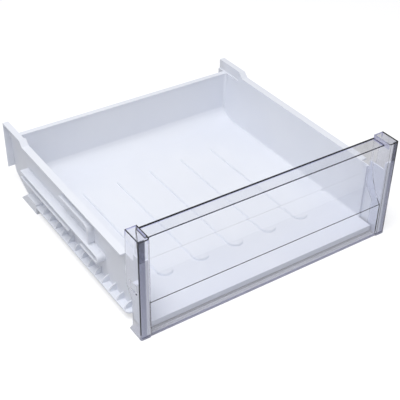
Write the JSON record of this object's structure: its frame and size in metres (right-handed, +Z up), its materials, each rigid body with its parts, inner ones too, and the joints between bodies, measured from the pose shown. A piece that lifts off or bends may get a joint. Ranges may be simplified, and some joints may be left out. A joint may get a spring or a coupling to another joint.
{
  "type": "freezer drawer",
  "caption": "Freezer drawer: open white moulded tub with runner channels along its sides, and a clear front with a recessed grip under its top lip.",
  "frame": {"origin": "under the middle of the drawer, on the surface that it stands on", "axes": "+X to the right seen from the front, +Y from the clear front to the back wall, +Z up"},
  "size_m": [0.45, 0.446, 0.172],
  "materials": {
    "tub_white": "satin moulded, opaque",
    "front_clear": "polished, clear with a faint lavender tint"
  },
  "bodies": {
    "root": {"tub": "tub_white", "front_panel": "front_clear"}
  },
  "joints": []
}
